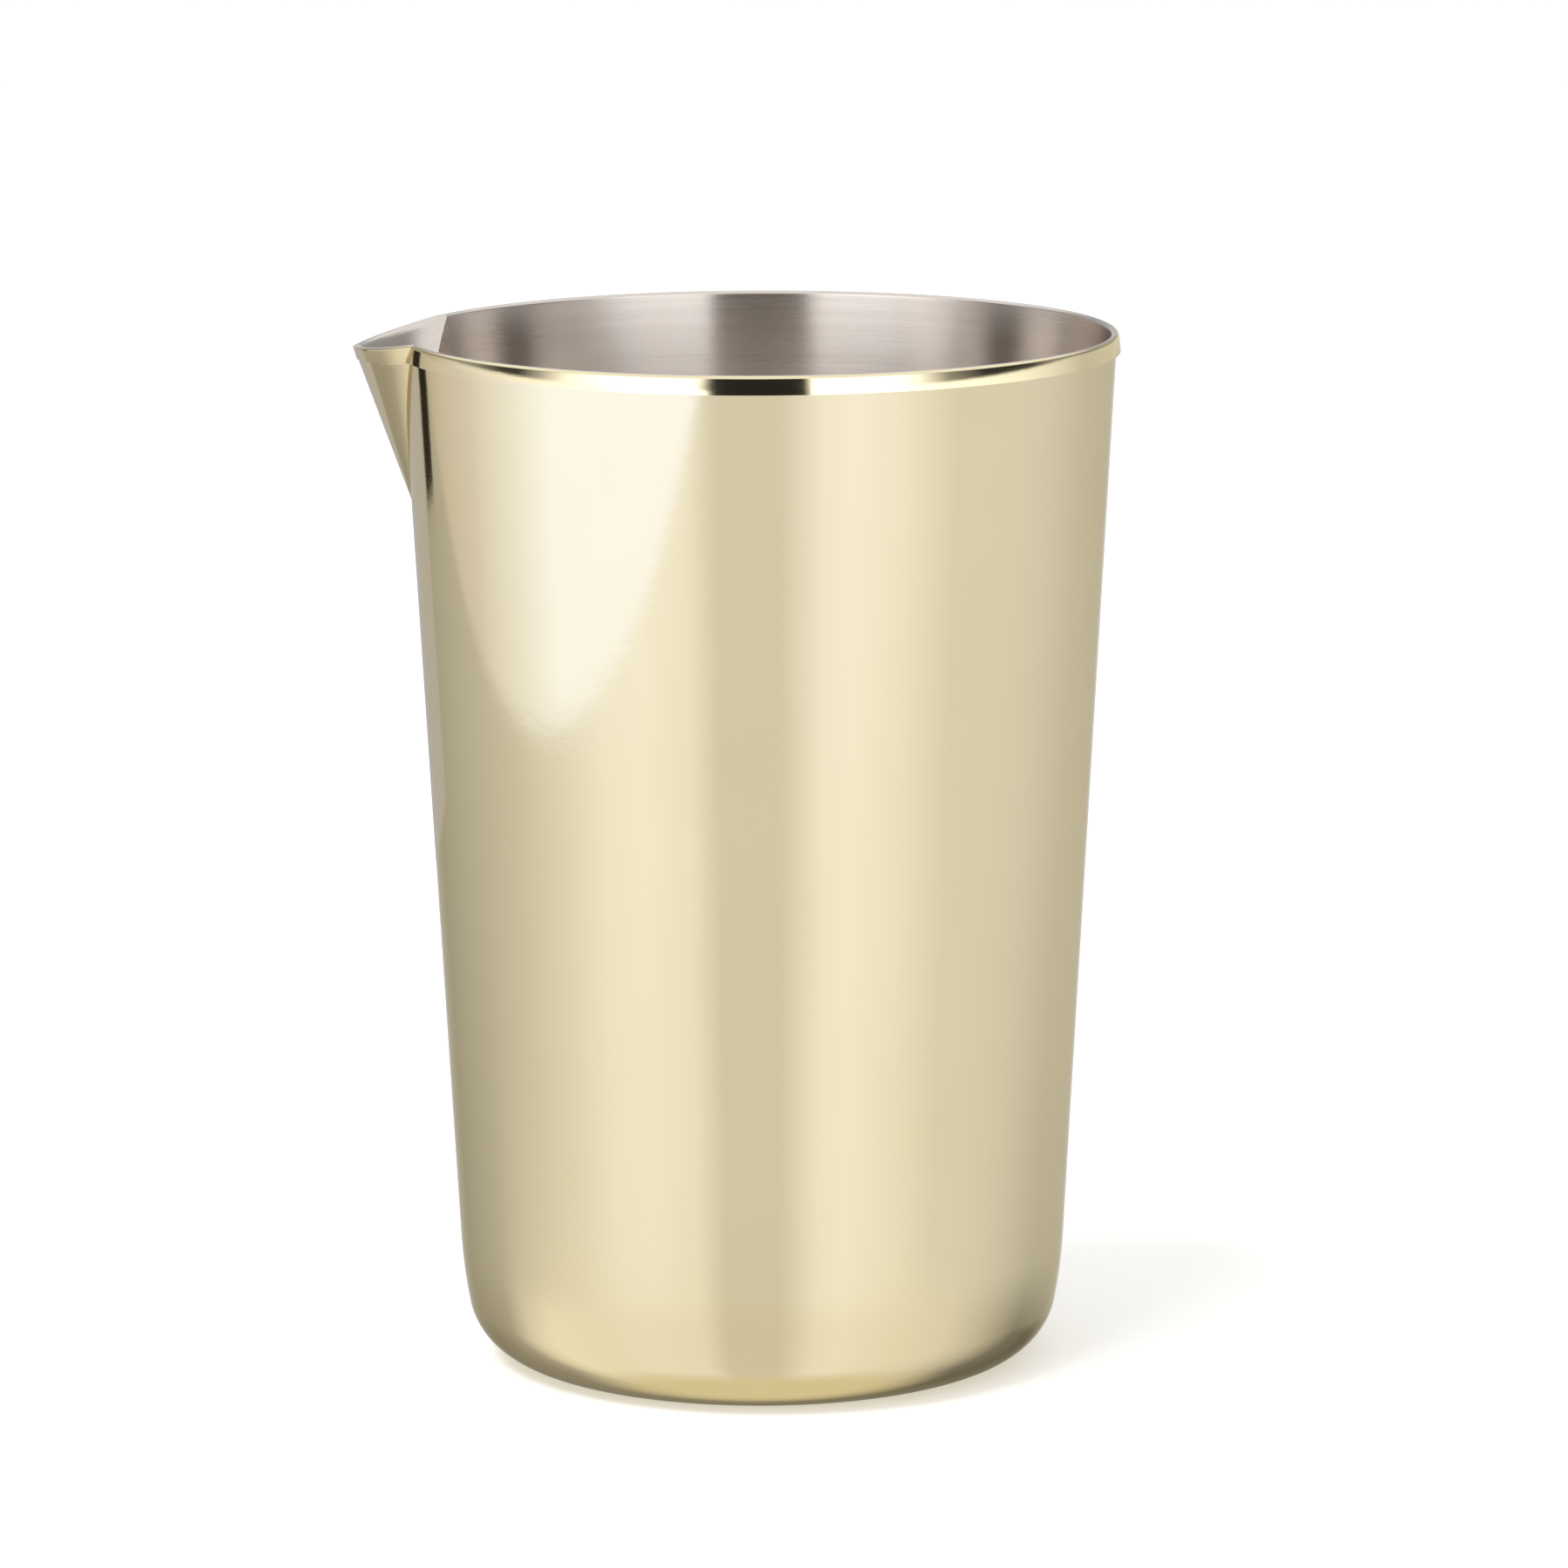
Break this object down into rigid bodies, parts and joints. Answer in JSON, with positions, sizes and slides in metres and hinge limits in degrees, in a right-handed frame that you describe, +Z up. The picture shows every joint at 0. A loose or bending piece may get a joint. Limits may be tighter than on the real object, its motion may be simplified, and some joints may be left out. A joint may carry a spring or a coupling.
{
  "type": "stirring tin",
  "caption": "Tapered double-walled bar mixing tin with a folded rim, a rounded bottom corner and a V-shaped pour spout.",
  "frame": {"origin": "centre of the foot, on the plane that the tin rests on", "axes": "+Z up along the cup's axis, -X towards the pour spout, so that +Y is to the left of someone who looks from the spout to the centre of the cup"},
  "size_m": [0.096, 0.09, 0.13],
  "materials": {
    "gold_coating": "stainless steel polished nearly to a mirror, with a pale gold coating",
    "brushed_liner": "bare stainless steel, finely brushed around the cup"
  },
  "bodies": {
    "root": {"inner_cup": "brushed_liner", "outer_shell": "gold_coating", "base_plate": "gold_coating", "spout_skin": "gold_coating", "spout_liner": "brushed_liner"}
  },
  "joints": []
}
